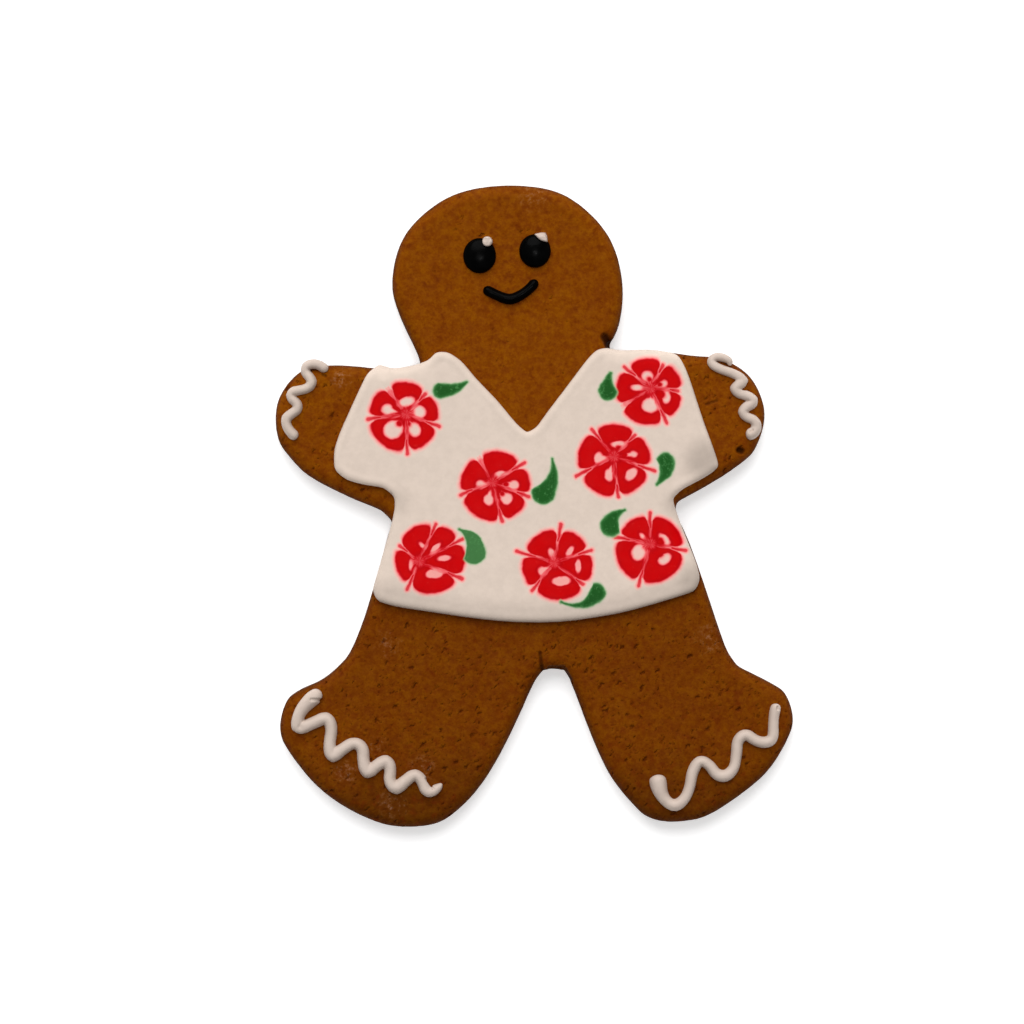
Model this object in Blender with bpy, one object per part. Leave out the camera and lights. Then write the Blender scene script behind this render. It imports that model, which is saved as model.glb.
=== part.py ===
"""A gingerbread man cookie lying flat on its back: one rolled dough figure, an icing shirt, and piped icing
eyes, glints, smile and zigzags.

The frame: +Z up and away from the underside, +Y towards the head, +X towards the figure's left-hand side as it
is looked at from above. The origin is on the underside, at the middle of the figure's box.
"""

import math

import bmesh
import bpy
import numpy as np
from mathutils import Matrix
from mathutils.geometry import delaunay_2d_cdt

MM = 0.001

# Dough.
DOUGH_THICKNESS = 7.0 * MM
TOP_ROUNDING = 3.0 * MM
BOTTOM_ROUNDING = 0.8 * MM
TOP_ROUNDING_SEGMENTS = 5
BOTTOM_ROUNDING_SEGMENTS = 2

# Icing.
CONTACT_GAP = 0.3 * MM  # left between two pieces that touch
SHIRT_THICKNESS = 1.7 * MM
SHIRT_EDGE_HEIGHT = 0.7 * MM  # the upright foot of the shirt's rounded edge
SHIRT_BORDER_WIDTH = 1.1 * MM  # outline to the crest of the raised border
SHIRT_GROOVE_WIDTH = 2.2 * MM  # outline to the bottom of the groove behind it
SHIRT_FIELD_START = 3.2 * MM  # outline to where the flooded field is level
SHIRT_GROOVE_DEPTH = 0.2 * MM
SHIRT_FIELD_DROP = 0.05 * MM  # the field lies this much under the border's crest
FOOT_LINE_WIDTHS = {"left": 3.0 * MM, "right": 2.7 * MM}
HAND_LINE_WIDTH = 2.4 * MM
SMILE_WIDTH = 2.4 * MM
LINE_RISE = 0.35  # height of a piped line's middle over the dough, in radii
LINE_MOST_SAG = 0.6 * MM  # how far a piped line follows the rounded rim down
EYE_HEIGHT = 1.7 * MM  # middle of the dome to its top
EYE_RISE = 0.4 * MM  # height of the dome's widest level over the dough
GLINT_TOP = 2.5 * MM  # over the dough
GLINT_DEPTH = 3.5 * MM  # from its top down into the dough, before it is cut to sit on the eye and the dough

# Sampling of the outlines.
FINE_STEP = 0.2 * MM
OUTLINE_TURN = math.radians(10.0)
OUTLINE_LONGEST = 9.0 * MM
LINE_STEP = 1.15 * MM
LINE_END_ANGLES = np.radians([15, 45, 70])  # stations on a piped line's rounded end
WELD = 0.01 * MM
INSET_SHARE = 0.93  # a moved point is dropped where it lies nearer the outline than this share of the inset

# The figure's outline in millimetres, clockwise, as two smooth stretches between the neck's sharp corners.
HEAD_OUTLINE = [
    (-26.2, 33.3),
    (-29.6, 40.0),
    (-33.1, 51.5),
    (-30.6, 62.4),
    (-20.8, 71.7),
    (-6.8, 74.9),
    (7.4, 72.4),
    (17.2, 63.3),
    (20.7, 50.5),
    (19.2, 40.5),
    (17.6, 36.9),
]
BODY_OUTLINE = [
    (17.6, 36.9),
    (20.2, 36.3),
    (26.0, 36.5),
    (31.0, 36.1),
    (36.0, 35.1),
    (44.0, 34.3),
    (50.4, 30.2),
    (53.9, 21.5),
    (51.6, 13.2),
    (44.1, 6.9),
    (36.5, 2.5),
    (33.3, 0.3),
    (33.1, -1.2),
    (34.5, -4.7),
    (38.6, -14.6),
    (42.5, -26.8),
    (45.0, -33.5),
    (47.5, -37.3),
    (52.3, -39.9),
    (55.8, -41.7),
    (58.5, -43.7),
    (59.9, -46.5),
    (60.5, -49.6),
    (57.2, -58.5),
    (47.6, -68.2),
    (36.5, -73.6),
    (27.2, -73.0),
    (20.2, -66.4),
    (11.8, -49.8),
    (7.9, -40.0),
    (6.9, -38.6),
    (4.5, -38.3),
    (2.1, -38.6),
    (0.85, -40.1),
    (-5.4, -53.1),
    (-14.8, -68.2),
    (-22.4, -74.1),
    (-31.0, -75.1),
    (-43.7, -70.8),
    (-54.4, -61.5),
    (-59.4, -52.0),
    (-58.9, -48.4),
    (-57.3, -45.0),
    (-54.5, -43.0),
    (-50.4, -41.2),
    (-44.6, -36.4),
    (-39.4, -25.6),
    (-36.4, -15.0),
    (-34.0, -6.5),
    (-33.2, -3.9),
    (-34.6, -2.1),
    (-42.6, 1.7),
    (-54.0, 8.1),
    (-59.9, 16.0),
    (-59.6, 25.0),
    (-54.6, 31.2),
    (-47.0, 32.8),
    (-36.0, 32.0),
    (-30.0, 32.2),
    (-26.2, 33.3),
]

# The icing shirt's outline, clockwise from the left end of the collar.
SHIRT_OUTLINE = [
    (-22.6, 35.5),
    (-20.7, 35.6),
    (-17.4, 33.8),
    (-13.3, 28.9),
    (-7.7, 23.3),
    (-3.3, 18.1),
    (-1.6, 17.0),
    (0.0, 17.7),
    (3.5, 22.1),
    (9.1, 29.4),
    (13.4, 34.9),
    (14.9, 36.1),
    (16.8, 36.6),
    (19.9, 36.1),
    (25.0, 36.3),
    (30.0, 36.0),
    (33.3, 35.0),
    (35.1, 32.2),
    (37.0, 26.8),
    (39.8, 17.9),
    (42.4, 11.0),
    (42.7, 9.3),
    (41.5, 7.9),
    (38.2, 5.9),
    (33.9, 3.5),
    (32.3, 1.6),
    (32.9, -0.7),
    (34.0, -4.3),
    (36.1, -9.5),
    (38.2, -14.9),
    (38.4, -17.4),
    (37.5, -19.3),
    (33.7, -20.9),
    (20.8, -24.8),
    (3.7, -27.1),
    (-9.6, -26.7),
    (-26.2, -24.2),
    (-33.6, -23.0),
    (-36.4, -21.8),
    (-37.4, -19.9),
    (-36.5, -16.4),
    (-34.8, -10.3),
    (-33.2, -5.0),
    (-32.3, -0.8),
    (-32.5, 2.1),
    (-34.5, 4.0),
    (-39.5, 5.0),
    (-43.8, 6.4),
    (-46.2, 8.6),
    (-46.5, 11.1),
    (-43.8, 20.2),
    (-40.5, 26.8),
    (-38.4, 31.0),
    (-37.4, 31.9),
    (-32.0, 31.9),
    (-26.7, 32.9),
    (-24.4, 33.9),
]

EYES = {
    "left": {"middle": (-12.7, 58.3), "radii": (3.9, 4.2)},
    "right": {"middle": (0.2, 59.4), "radii": (3.75, 4.0)},
}
LEFT_GLINT = {"middle": (-10.9, 61.5), "base_radius": 1.4, "top_radius": 1.1}
RIGHT_GLINT_CORNERS = [(0.1, 63.2), (2.9, 63.9), (3.1, 61.4), (1.4, 61.8)]

# Piped lines: the middle line's points, and the line's width there as a share of its usual width.
SMILE = [
    (-11.8, 50.6, 1.05),
    (-8.2, 48.9, 1.0),
    (-5.8, 48.1, 1.1),
    (-3.3, 49.0, 1.0),
    (-1.3, 50.4, 1.0),
    (0.8, 52.7, 1.0),
]
LEFT_FOOT_LINE = [
    (-49.4, -43.9, 1.0),
    (-50.7, -44.3, 1.2),
    (-52.8, -46.0, 1.15),
    (-54.8, -48.8, 0.95),
    (-55.2, -52.0, 1.0),
    (-51.5, -50.7, 0.95),
    (-48.0, -49.6, 1.0),
    (-47.3, -52.1, 0.95),
    (-47.7, -55.8, 0.95),
    (-47.2, -58.7, 1.05),
    (-44.9, -57.0, 0.95),
    (-41.4, -55.4, 0.95),
    (-40.2, -56.3, 1.0),
    (-39.8, -59.5, 0.95),
    (-39.0, -62.4, 1.05),
    (-36.5, -60.5, 0.95),
    (-34.2, -59.4, 1.0),
    (-33.5, -61.7, 0.95),
    (-33.7, -64.2, 0.95),
    (-32.4, -66.0, 1.1),
    (-30.0, -64.2, 0.95),
    (-27.5, -62.7, 0.95),
    (-26.0, -64.5, 0.9),
    (-24.8, -66.9, 1.0),
    (-22.8, -66.1, 0.75),
    (-21.3, -64.7, 0.4),
]
RIGHT_FOOT_LINE = [
    (28.6, -62.8, 1.5),
    (29.0, -65.0, 1.5),
    (29.9, -67.7, 1.15),
    (31.4, -69.4, 1.0),
    (32.7, -70.0, 1.1),
    (34.9, -68.6, 0.95),
    (36.3, -65.6, 0.95),
    (37.0, -62.1, 1.0),
    (38.9, -59.4, 1.0),
    (41.0, -60.7, 0.95),
    (42.7, -62.8, 1.05),
    (44.3, -63.2, 1.1),
    (46.4, -61.6, 0.95),
    (47.2, -58.1, 0.95),
    (47.8, -54.4, 1.0),
    (49.3, -53.3, 1.05),
    (51.3, -54.6, 0.95),
    (53.5, -55.3, 1.0),
    (55.4, -54.7, 1.0),
    (55.8, -51.6, 0.9),
    (56.0, -48.6, 0.9),
    (56.7, -46.0, 1.05),
]
LEFT_HAND_LINE = [
    (-48.4, 31.3, 1.05),
    (-49.5, 32.5, 1.0),
    (-51.2, 33.1, 1.0),
    (-53.5, 32.3, 1.0),
    (-53.4, 31.1, 0.95),
    (-52.4, 30.0, 0.95),
    (-51.7, 28.6, 1.1),
    (-53.0, 27.3, 0.95),
    (-55.2, 26.8, 0.95),
    (-56.8, 26.3, 1.05),
    (-56.6, 24.9, 0.95),
    (-55.4, 24.0, 0.95),
    (-54.9, 22.8, 1.1),
    (-56.3, 21.6, 0.95),
    (-57.9, 20.2, 1.05),
    (-57.8, 18.8, 0.95),
    (-57.0, 17.4, 1.0),
    (-55.1, 15.6, 1.1),
]
RIGHT_HAND_LINE = [
    (45.7, 32.6, 0.6),
    (45.6, 33.8, 0.75),
    (43.8, 34.6, 0.85),
    (41.9, 34.6, 0.9),
    (41.2, 33.5, 0.95),
    (43.1, 32.0, 0.9),
    (45.9, 31.0, 0.9),
    (48.1, 29.9, 0.95),
    (49.1, 28.9, 1.05),
    (47.7, 28.2, 1.0),
    (46.6, 27.3, 1.05),
    (47.8, 26.1, 0.95),
    (49.8, 25.6, 0.95),
    (51.4, 24.2, 1.1),
    (50.1, 23.3, 1.0),
    (48.5, 22.1, 1.05),
    (49.4, 20.7, 0.95),
    (51.3, 20.0, 0.95),
    (52.0, 18.6, 1.1),
    (51.2, 16.9, 1.15),
    (49.2, 16.5, 1.3),
]

# Colours as displayed, with a roughness.
FINISHES = {
    "dough": ((0.49, 0.26, 0.06), 0.85),
    "white_icing": ((0.9, 0.87, 0.83), 0.35),
    "black_icing": ((0.03, 0.03, 0.03), 0.2),
}


# Outlines and splines.


def in_metres(knots):
    """Knots as metres, with any third number, a share of a line's width, left as it is."""
    knots = np.array(knots, float)
    knots[:, :2] *= MM
    return knots


def smooth_line(knots, closed=False):
    """Points about FINE_STEP apart along a smooth curve through the knots."""
    if closed:
        knots = np.vstack([knots[-1], knots, knots[:2]])
    else:
        knots = np.vstack([2 * knots[0] - knots[1], knots, 2 * knots[-1] - knots[-2]])
    steps = np.diff(knots, axis=0)
    lengths = np.linalg.norm(steps[:, :2], axis=1)[:, None]
    slopes = steps / lengths
    nearer = lengths[1:] / (lengths[:-1] + lengths[1:])
    tangents = slopes[:-1] * nearer + slopes[1:] * (1 - nearer)
    pieces = []
    for start, end, leave, arrive, length in zip(
        knots[1:], knots[2:], tangents, tangents[1:], lengths[1:]
    ):
        count = max(2, round(length[0] / FINE_STEP))
        t = np.linspace(0, 1, count, endpoint=False)[:, None]
        first_handle = start + leave * length / 3
        second_handle = end - arrive * length / 3
        pieces.append(
            (1 - t) ** 3 * start
            + 3 * (1 - t) ** 2 * t * first_handle
            + 3 * (1 - t) * t**2 * second_handle
            + t**3 * end
        )
    return np.vstack(pieces)


def thinned(points):
    """The points at which the curve has turned or run on enough since the last one kept."""
    kept = [points[0]]
    turned = 0.0
    run = 0.0
    for before, here, after in zip(points, points[1:], points[2:]):
        first, second = here - before, after - here
        turned += abs(math.atan2(first[0] * second[1] - first[1] * second[0], first @ second))
        run += np.linalg.norm(first)
        if turned > OUTLINE_TURN or run > OUTLINE_LONGEST:
            kept.append(here)
            turned = 0.0
            run = 0.0
    return np.array(kept)


COOKIE_LOOP = np.vstack([thinned(smooth_line(in_metres(knots))) for knots in (HEAD_OUTLINE, BODY_OUTLINE)])
SHIRT_LOOP = thinned(smooth_line(in_metres(SHIRT_OUTLINE), closed=True))


def distance_to(loop, points):
    """How far each point is from the closed outline."""
    starts = loop[None]
    edges = (np.roll(loop, -1, axis=0) - loop)[None]
    offsets = points[:, None] - starts
    along = np.clip((offsets * edges).sum(2) / (edges**2).sum(2), 0, 1)
    return np.linalg.norm(offsets - along[..., None] * edges, axis=2).min(1)


def dough_drop(points):
    """How far the dough's rounded rim lies under its level top at these points."""
    short = np.clip(TOP_ROUNDING - distance_to(COOKIE_LOOP, points), 0, TOP_ROUNDING)
    return TOP_ROUNDING - np.sqrt(TOP_ROUNDING**2 - short**2)


def inset(loop, distance):
    """The loop's points moved inwards, without those that a sharp bend brings too near the outline."""
    ahead = np.roll(loop, -1, axis=0) - loop
    ahead /= np.linalg.norm(ahead, axis=1)[:, None]
    along = ahead + np.roll(ahead, 1, axis=0)
    along /= np.linalg.norm(along, axis=1)[:, None]
    moved = loop + distance * np.column_stack([along[:, 1], -along[:, 0]])
    return moved[distance_to(loop, moved) > INSET_SHARE * distance]


# Making objects.


def add_object(name, mesh, collection, finish=None):
    made = bpy.data.objects.new(name, mesh)
    collection.objects.link(made)
    if finish:
        mesh.materials.clear()
        mesh.materials.append(materials[finish])
        mesh.shade_smooth()
        mesh.set_sharp_from_angle(angle=math.radians(50))
    return made


def material(name, displayed, roughness):
    made = bpy.data.materials.new(name)
    made.use_nodes = True
    shader = made.node_tree.nodes["Principled BSDF"]
    linear = [value / 12.92 if value < 0.04 else ((value + 0.055) / 1.055) ** 2.4 for value in displayed]
    shader.inputs["Base Color"].default_value = (*linear, 1)
    shader.inputs["Roughness"].default_value = roughness
    return made


def evaluated_mesh(source):
    """The object's mesh with its modifiers or its curve worked out, in world space, and the object removed."""
    bpy.context.view_layer.update()
    graph = bpy.context.evaluated_depsgraph_get()
    mesh = bpy.data.meshes.new_from_object(source.evaluated_get(graph))
    mesh.transform(source.matrix_world)
    bpy.data.objects.remove(source)
    return mesh


def curve_mesh(name, points, cyclic, **settings):
    """The mesh of a curve through the points, with its caps welded on."""
    curve = bpy.data.curves.new(name, "CURVE")
    for setting, value in settings.items():
        setattr(curve, setting, value)
    spline = curve.splines.new("POLY")
    spline.points.add(len(points) - 1)
    for point, (x, y, z, radius) in zip(spline.points, points):
        point.co = (x, y, z, 1)
        point.radius = radius
    spline.use_cyclic_u = cyclic
    mesh = evaluated_mesh(add_object(name, curve, cutters))
    bm = bmesh.new()
    bm.from_mesh(mesh)
    bmesh.ops.remove_doubles(bm, verts=bm.verts, dist=WELD)
    bm.to_mesh(mesh)
    bm.free()
    return mesh


def add_cutter(name, mesh, growth=0.0):
    """A hidden cutter, its surface moved outwards by the growth."""
    cutter = add_object(name, mesh, cutters)
    cutter.hide_render = True
    cutter.display_type = "WIRE"
    if growth:
        grow = cutter.modifiers.new("Grow", "DISPLACE")
        grow.strength = growth
        grow.mid_level = 0
    return cutter


def cut(piece, *tools):
    for tool in tools:
        boolean = piece.modifiers.new("Cut", "BOOLEAN")
        boolean.operation = "DIFFERENCE"
        boolean.object = tool
        boolean.use_self = True


# The pieces.


def dough_mesh():
    """The flat figure, with its rim rounded above and slightly below."""
    flat = [(x, y, 0, 1) for x, y in COOKIE_LOOP]
    mesh = curve_mesh(
        "cookie", flat, True, dimensions="2D", fill_mode="BOTH", extrude=DOUGH_THICKNESS / 2
    )
    bm = bmesh.new()
    bm.from_mesh(mesh)
    bmesh.ops.translate(bm, verts=bm.verts, vec=(0, 0, DOUGH_THICKNESS / 2))
    bmesh.ops.dissolve_limit(bm, angle_limit=math.radians(1), verts=bm.verts, edges=bm.edges)
    for level, radius, segments in (
        (DOUGH_THICKNESS, TOP_ROUNDING, TOP_ROUNDING_SEGMENTS),
        (0, BOTTOM_ROUNDING, BOTTOM_ROUNDING_SEGMENTS),
    ):
        rim = [edge for edge in bm.edges if all(abs(vert.co.z - level) < CONTACT_GAP for vert in edge.verts)]
        bmesh.ops.bevel(
            bm, geom=rim, offset=radius, segments=segments, profile=0.5, affect="EDGES", clamp_overlap=False
        )
    bm.to_mesh(mesh)
    bm.free()
    return mesh


def shirt_thickness(depth):
    """The icing's thickness at a distance in from its outline: rounded edge, raised border, groove, field."""
    depths = [SHIRT_BORDER_WIDTH, SHIRT_GROOVE_WIDTH, SHIRT_FIELD_START]
    heights = [SHIRT_THICKNESS, SHIRT_THICKNESS - SHIRT_GROOVE_DEPTH, SHIRT_THICKNESS - SHIRT_FIELD_DROP]
    rounded = 1 - np.clip(1 - depth / SHIRT_BORDER_WIDTH, 0, 1) ** 2
    edge = SHIRT_EDGE_HEIGHT + (SHIRT_THICKNESS - SHIRT_EDGE_HEIGHT) * np.sqrt(rounded)
    return np.where(depth < SHIRT_BORDER_WIDTH, edge, np.interp(depth, depths, heights))


def shirt_mesh():
    """The flooded icing, which keeps its thickness as it drapes over the dough's rounded rim."""
    depths = [0.12 * SHIRT_BORDER_WIDTH, 0.45 * SHIRT_BORDER_WIDTH, SHIRT_BORDER_WIDTH, SHIRT_GROOVE_WIDTH]
    rings = [SHIRT_LOOP, *(inset(SHIRT_LOOP, depth) for depth in (*depths, SHIRT_FIELD_START))]
    points = np.vstack(rings)
    count = len(SHIRT_LOOP)
    rim = [(i, (i + 1) % count) for i in range(count)]
    flat, _, triangles, *_ = delaunay_2d_cdt([*map(tuple, points)], rim, [], 1, WELD)
    flat = np.array(flat)
    drop = dough_drop(flat)
    under = DOUGH_THICKNESS - drop + CONTACT_GAP
    over = under + shirt_thickness(distance_to(SHIRT_LOOP, flat))
    verts = [*np.column_stack([flat, over]), *np.column_stack([flat, under])]
    lower = len(flat)
    faces = [*triangles, *([lower + i for i in reversed(face)] for face in triangles)]
    faces += [(a, b, lower + b, lower + a) for a, b in rim]
    mesh = bpy.data.meshes.new("shirt_icing")
    mesh.from_pydata(verts, [], faces)
    bm = bmesh.new()
    bm.from_mesh(mesh)
    bmesh.ops.recalc_face_normals(bm, faces=bm.faces)
    bm.to_mesh(mesh)
    bm.free()
    return mesh


def piped_line(name, knots, width, finish):
    """A piped bead with rounded ends that lies on the dough."""
    radius = width / 2
    fine = smooth_line(in_metres(knots))
    runs = np.r_[0, np.cumsum(np.linalg.norm(np.diff(fine[:, :2], axis=0), axis=1))]
    length = runs[-1]
    end = radius * (1 - np.cos(LINE_END_ANGLES))
    middle = np.linspace(radius, length - radius, round(length / LINE_STEP))
    places = np.r_[end, middle, length - end[::-1]]
    x, y, share = (np.interp(places, runs, column) for column in fine.T)
    from_end = np.clip(np.minimum(places, length - places) / radius, 0, 1)
    share = share * np.sqrt(1 - (1 - from_end) ** 2)
    sag = np.minimum(dough_drop(np.column_stack([x, y])), LINE_MOST_SAG)
    z = DOUGH_THICKNESS - sag + LINE_RISE * radius
    path = np.column_stack([x, y, z, share])
    mesh = curve_mesh(
        name, path, False, dimensions="3D", bevel_depth=radius, bevel_resolution=2, use_fill_caps=True
    )
    piece = add_object(name, mesh, figure, finish)
    cut(piece, grown_dough)
    return piece


def dome_mesh(middle, radii):
    bm = bmesh.new()
    bmesh.ops.create_uvsphere(bm, u_segments=20, v_segments=10, radius=1)
    bmesh.ops.scale(bm, verts=bm.verts, vec=(radii[0] * MM, radii[1] * MM, EYE_HEIGHT))
    height = DOUGH_THICKNESS + EYE_RISE
    bmesh.ops.translate(bm, verts=bm.verts, vec=(middle[0] * MM, middle[1] * MM, height))
    mesh = bpy.data.meshes.new("eye")
    bm.to_mesh(mesh)
    bm.free()
    return mesh


def eye(side, middle, radii):
    piece = add_object(f"eye_{side}", dome_mesh(middle, radii), figure, "black_icing")
    cut(piece, grown_dough)
    return add_cutter(f"eye_{side}_grown", dome_mesh(middle, radii), CONTACT_GAP)


def left_glint(eye_cutter):
    """A small round peak on the edge of the left eye."""
    bm = bmesh.new()
    bmesh.ops.create_cone(
        bm,
        cap_ends=True,
        segments=12,
        radius1=LEFT_GLINT["base_radius"] * MM,
        radius2=LEFT_GLINT["top_radius"] * MM,
        depth=GLINT_DEPTH,
    )
    x, y = LEFT_GLINT["middle"]
    height = DOUGH_THICKNESS + GLINT_TOP - GLINT_DEPTH / 2
    bmesh.ops.translate(bm, verts=bm.verts, vec=(x * MM, y * MM, height))
    mesh = bpy.data.meshes.new("eye_glint_left")
    bm.to_mesh(mesh)
    bm.free()
    piece = add_object("eye_glint_left", mesh, figure, "white_icing")
    cut(piece, grown_dough, eye_cutter)


def right_glint(eye_cutter):
    """A small three-cornered flake on the edge of the right eye."""
    corners = [(x * MM, y * MM, 0, 1) for x, y in RIGHT_GLINT_CORNERS]
    mesh = curve_mesh(
        "eye_glint_right", corners, True, dimensions="2D", fill_mode="BOTH", extrude=GLINT_DEPTH / 2
    )
    mesh.transform(Matrix.Translation((0, 0, DOUGH_THICKNESS + GLINT_TOP - GLINT_DEPTH / 2)))
    piece = add_object("eye_glint_right", mesh, figure, "white_icing")
    cut(piece, grown_dough, eye_cutter)


for old in list(bpy.data.objects):
    bpy.data.objects.remove(old)
figure = bpy.data.collections.new("gingerbread_man")
cutters = bpy.data.collections.new("cutters")
cutters.hide_render = True
for collection in (figure, cutters):
    bpy.context.scene.collection.children.link(collection)
materials = {name: material(name, *finish) for name, finish in FINISHES.items()}

dough = dough_mesh()
grown_dough = add_cutter("dough_grown", dough.copy(), CONTACT_GAP)
add_object("cookie", dough, figure, "dough")
add_object("shirt_icing", shirt_mesh(), figure, "white_icing")
left_eye_cutter = eye("left", **EYES["left"])
right_eye_cutter = eye("right", **EYES["right"])
left_glint(left_eye_cutter)
right_glint(right_eye_cutter)
piped_line("smile", SMILE, SMILE_WIDTH, "black_icing")
piped_line("zigzag_foot_left", LEFT_FOOT_LINE, FOOT_LINE_WIDTHS["left"], "white_icing")
piped_line("zigzag_foot_right", RIGHT_FOOT_LINE, FOOT_LINE_WIDTHS["right"], "white_icing")
piped_line("zigzag_hand_left", LEFT_HAND_LINE, HAND_LINE_WIDTH, "white_icing")
piped_line("zigzag_hand_right", RIGHT_HAND_LINE, HAND_LINE_WIDTH, "white_icing")
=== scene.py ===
# Gingerbread man: baked dough, an icing shirt with marbled flowers, and piped icing trims.
import math

import bmesh
import bpy
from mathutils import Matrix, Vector


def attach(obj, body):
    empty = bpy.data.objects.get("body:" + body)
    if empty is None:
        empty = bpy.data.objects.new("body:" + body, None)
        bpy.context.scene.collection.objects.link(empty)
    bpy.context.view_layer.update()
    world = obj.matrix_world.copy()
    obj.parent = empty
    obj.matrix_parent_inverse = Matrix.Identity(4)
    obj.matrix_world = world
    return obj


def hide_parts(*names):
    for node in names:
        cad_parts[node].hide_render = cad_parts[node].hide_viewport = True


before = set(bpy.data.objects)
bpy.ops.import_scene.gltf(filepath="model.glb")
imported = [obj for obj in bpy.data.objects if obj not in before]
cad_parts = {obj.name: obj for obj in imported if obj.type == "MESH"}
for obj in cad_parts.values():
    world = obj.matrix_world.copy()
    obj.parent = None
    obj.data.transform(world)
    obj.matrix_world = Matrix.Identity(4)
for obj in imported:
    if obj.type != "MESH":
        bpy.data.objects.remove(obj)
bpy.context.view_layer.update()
mm = 0.001

studio = {
    "middle": (-5.15 * mm, -1.5 * mm, 4 * mm),  # the point the camera looks down on
    "width": 239.6 * mm,  # how much the camera takes in, at that height
    "lens": 150,
    "sensor": 36,
    "floorSize": 6.0,
    "floorDrop": 0.05 * mm,  # how far the floor lies under the dough
    "floorColour": (250, 250, 250),
    "floorGlow": 0.36,  # keeps the shadow on the floor faint
    "keyPower": 2.75,
    "keyTilt": (-45, -8),  # degrees about X and Y, from straight down
    "keySoftness": 55,
    "frontPower": 0.45,  # a small lamp by the camera
    "frontTilt": (4, 2),
    "frontSoftness": 4,
    "skyPower": 0.30,
}


def paint(red, green, blue):
    # a colour as it looks on a screen, 0 to 255, made linear
    shares = [value / 255 for value in (red, green, blue)]
    return [s / 12.92 if s < 0.04 else ((s + 0.055) / 1.055) ** 2.4 for s in shares] + [1]


def addNode(tree, kind, inputs=(), **settings):
    node = tree.nodes.new(kind)
    for name, value in settings.items():
        setattr(node, name, value)
    for socket, value in dict(inputs).items():
        feed(tree, node.inputs[socket], value)
    return node


def feed(tree, socket, value):
    if isinstance(value, bpy.types.NodeSocket):
        tree.links.new(value, socket)
    elif value is not None:
        socket.default_value = value


def calc(tree, operation, *values, clamp=False):
    node = addNode(tree, "ShaderNodeMath", operation=operation, use_clamp=clamp)
    for socket, value in zip(node.inputs, values):
        feed(tree, socket, value)
    return node.outputs[0]


def times(tree, first, *others):
    for value in others:
        first = calc(tree, "MULTIPLY", first, value)
    return first


def vectorCalc(tree, operation, *values):
    node = addNode(tree, "ShaderNodeVectorMath", operation=operation)
    for socket, value in zip(node.inputs, values):
        feed(tree, socket, value)
    return node.outputs["Value" if operation in ("LENGTH", "DOT_PRODUCT", "DISTANCE") else "Vector"]


def scaled(tree, vector, factor):
    node = addNode(tree, "ShaderNodeVectorMath", operation="SCALE")
    feed(tree, node.inputs[0], vector)
    feed(tree, node.inputs["Scale"], factor)
    return node.outputs[0]


def ease(tree, value, fromLow, fromHigh, toLow=0.0, toHigh=1.0):
    inputs = {0: value, 1: fromLow, 2: fromHigh, 3: toLow, 4: toHigh}
    return addNode(tree, "ShaderNodeMapRange", inputs, interpolation_type="SMOOTHSTEP").outputs[0]


def blendColour(tree, factor, first, second, how="MIX"):
    node = addNode(tree, "ShaderNodeMix", data_type="RGBA", blend_type=how)
    for socket, value in zip((node.inputs[0], node.inputs[6], node.inputs[7]), (factor, first, second)):
        feed(tree, socket, value)
    return node.outputs[2]


def ramp(tree, value, stops):
    node = addNode(tree, "ShaderNodeValToRGB")
    low, high = stops[0][0], stops[-1][0]
    feed(tree, node.inputs[0], calc(tree, "DIVIDE", calc(tree, "SUBTRACT", value, low), high - low))
    elements = node.color_ramp.elements
    while len(elements) < len(stops):
        elements.new(0.5)
    for element, (place, colour) in zip(elements, stops):
        element.position = (place - low) / (high - low)
        element.color = paint(*colour)
    return node.outputs[0]


def noise(tree, place, size, detail=2.0, roughness=0.5):
    # soft noise from 0 to 1, its lumps about this many millimetres across
    inputs = {"Vector": place, "Scale": 1 / size, "Detail": detail, "Roughness": roughness}
    return addNode(tree, "ShaderNodeTexNoise", inputs).outputs[0]


def around(tree, place, size, reach, detail=2.0):
    # the same either side of zero, reaching about this far from it
    return times(tree, calc(tree, "SUBTRACT", noise(tree, place, size, detail), 0.5), reach)


def wobbled(tree, place, waves, detail, reach):
    # the place moved about softly, with this many waves to the millimetre
    node = addNode(tree, "ShaderNodeTexNoise", {"Vector": place, "Scale": waves, "Detail": detail})
    stray = vectorCalc(tree, "SUBTRACT", node.outputs["Color"], (0.5, 0.5, 0.5))
    return vectorCalc(tree, "ADD", place, vectorCalc(tree, "MULTIPLY", stray, reach))


def even(tree, place, size, low, high, detail=2.0, roughness=0.5):
    # soft noise between two values, most of it well inside them
    return ease(tree, noise(tree, place, size, detail, roughness), 0.3, 0.7, low, high)


def newMaterial(name):
    material = bpy.data.materials.new(name)
    material.use_nodes = True
    tree = material.node_tree
    place = addNode(tree, "ShaderNodeTexCoord").outputs["Object"]
    return material, tree, tree.nodes["Principled BSDF"], scaled(tree, place, 1 / mm)


def addBump(tree, shader, height):
    # height in millimetres
    node = addNode(tree, "ShaderNodeBump", {"Strength": 1.0, "Distance": mm, "Height": height})
    feed(tree, shader.inputs["Normal"], node.outputs[0])


def addShade(tree, colour, *shades):
    # the colour multiplied by these shades of red, green and blue
    rgb = addNode(tree, "ShaderNodeCombineXYZ", dict(enumerate(shades))).outputs[0]
    return vectorCalc(tree, "MULTIPLY", colour, rgb)


def only(piece):
    # nothing selected but this piece
    bpy.ops.object.select_all(action="DESELECT")
    piece.select_set(True)
    bpy.context.view_layer.objects.active = piece


def applied(piece, kind, **settings):
    only(piece)
    modifier = piece.modifiers.new(kind, kind)
    for name, value in settings.items():
        setattr(modifier, name, value)
    bpy.ops.object.modifier_apply(modifier=modifier.name)


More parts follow.
